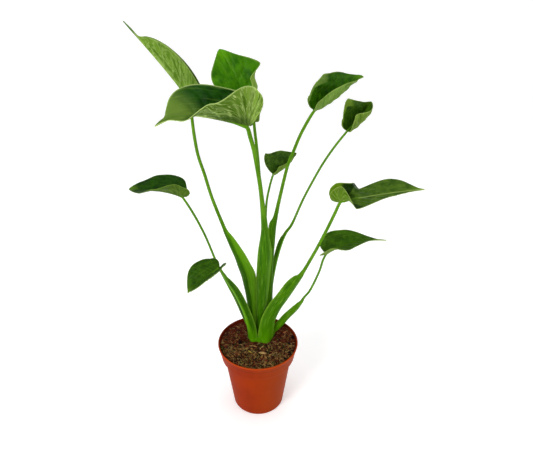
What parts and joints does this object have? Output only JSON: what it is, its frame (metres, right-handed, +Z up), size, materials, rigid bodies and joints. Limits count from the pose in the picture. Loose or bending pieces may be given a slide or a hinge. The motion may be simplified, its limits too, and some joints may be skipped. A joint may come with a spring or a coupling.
{
  "type": "potted alocasia",
  "caption": "Small aroid with narrow folded pointed leaves held out on long sheathed stalks, growing from a crown in a tapered round nursery pot filled with fibrous soil.",
  "frame": {"origin": "middle of the pot's underside, on the surface that it stands on", "axes": "+Z up along the pot's axis, -Y to the front that the picture shows, +X to the right in that view"},
  "size_m": [0.3563, 0.1747, 0.5351],
  "materials": {
    "pot": "satin moulded terracotta-coloured plastic",
    "soil": "loose dark brown coir and peat with tan fibres",
    "crown": "smooth fleshy green plant tissue",
    "stalk": "smooth green plant tissue with fine lengthwise lines",
    "blade": "satin dark green leaf, paler below, with pale veins"
  },
  "bodies": {
    "root": {"pot": "pot", "soil": "soil", "crown": "crown", "stalk_a": "stalk", "stalk_b": "stalk", "stalk_c": "stalk", "stalk_d": "stalk", "stalk_e": "stalk", "stalk_f": "stalk", "stalk_g": "stalk", "stalk_h": "stalk", "stalk_i": "stalk", "stalk_j": "stalk", "blade_a": "blade", "blade_b": "blade", "blade_c": "blade", "blade_d": "blade", "blade_e": "blade", "blade_f": "blade", "blade_g": "blade", "blade_h": "blade", "blade_i": "blade", "blade_j": "blade"}
  },
  "joints": []
}
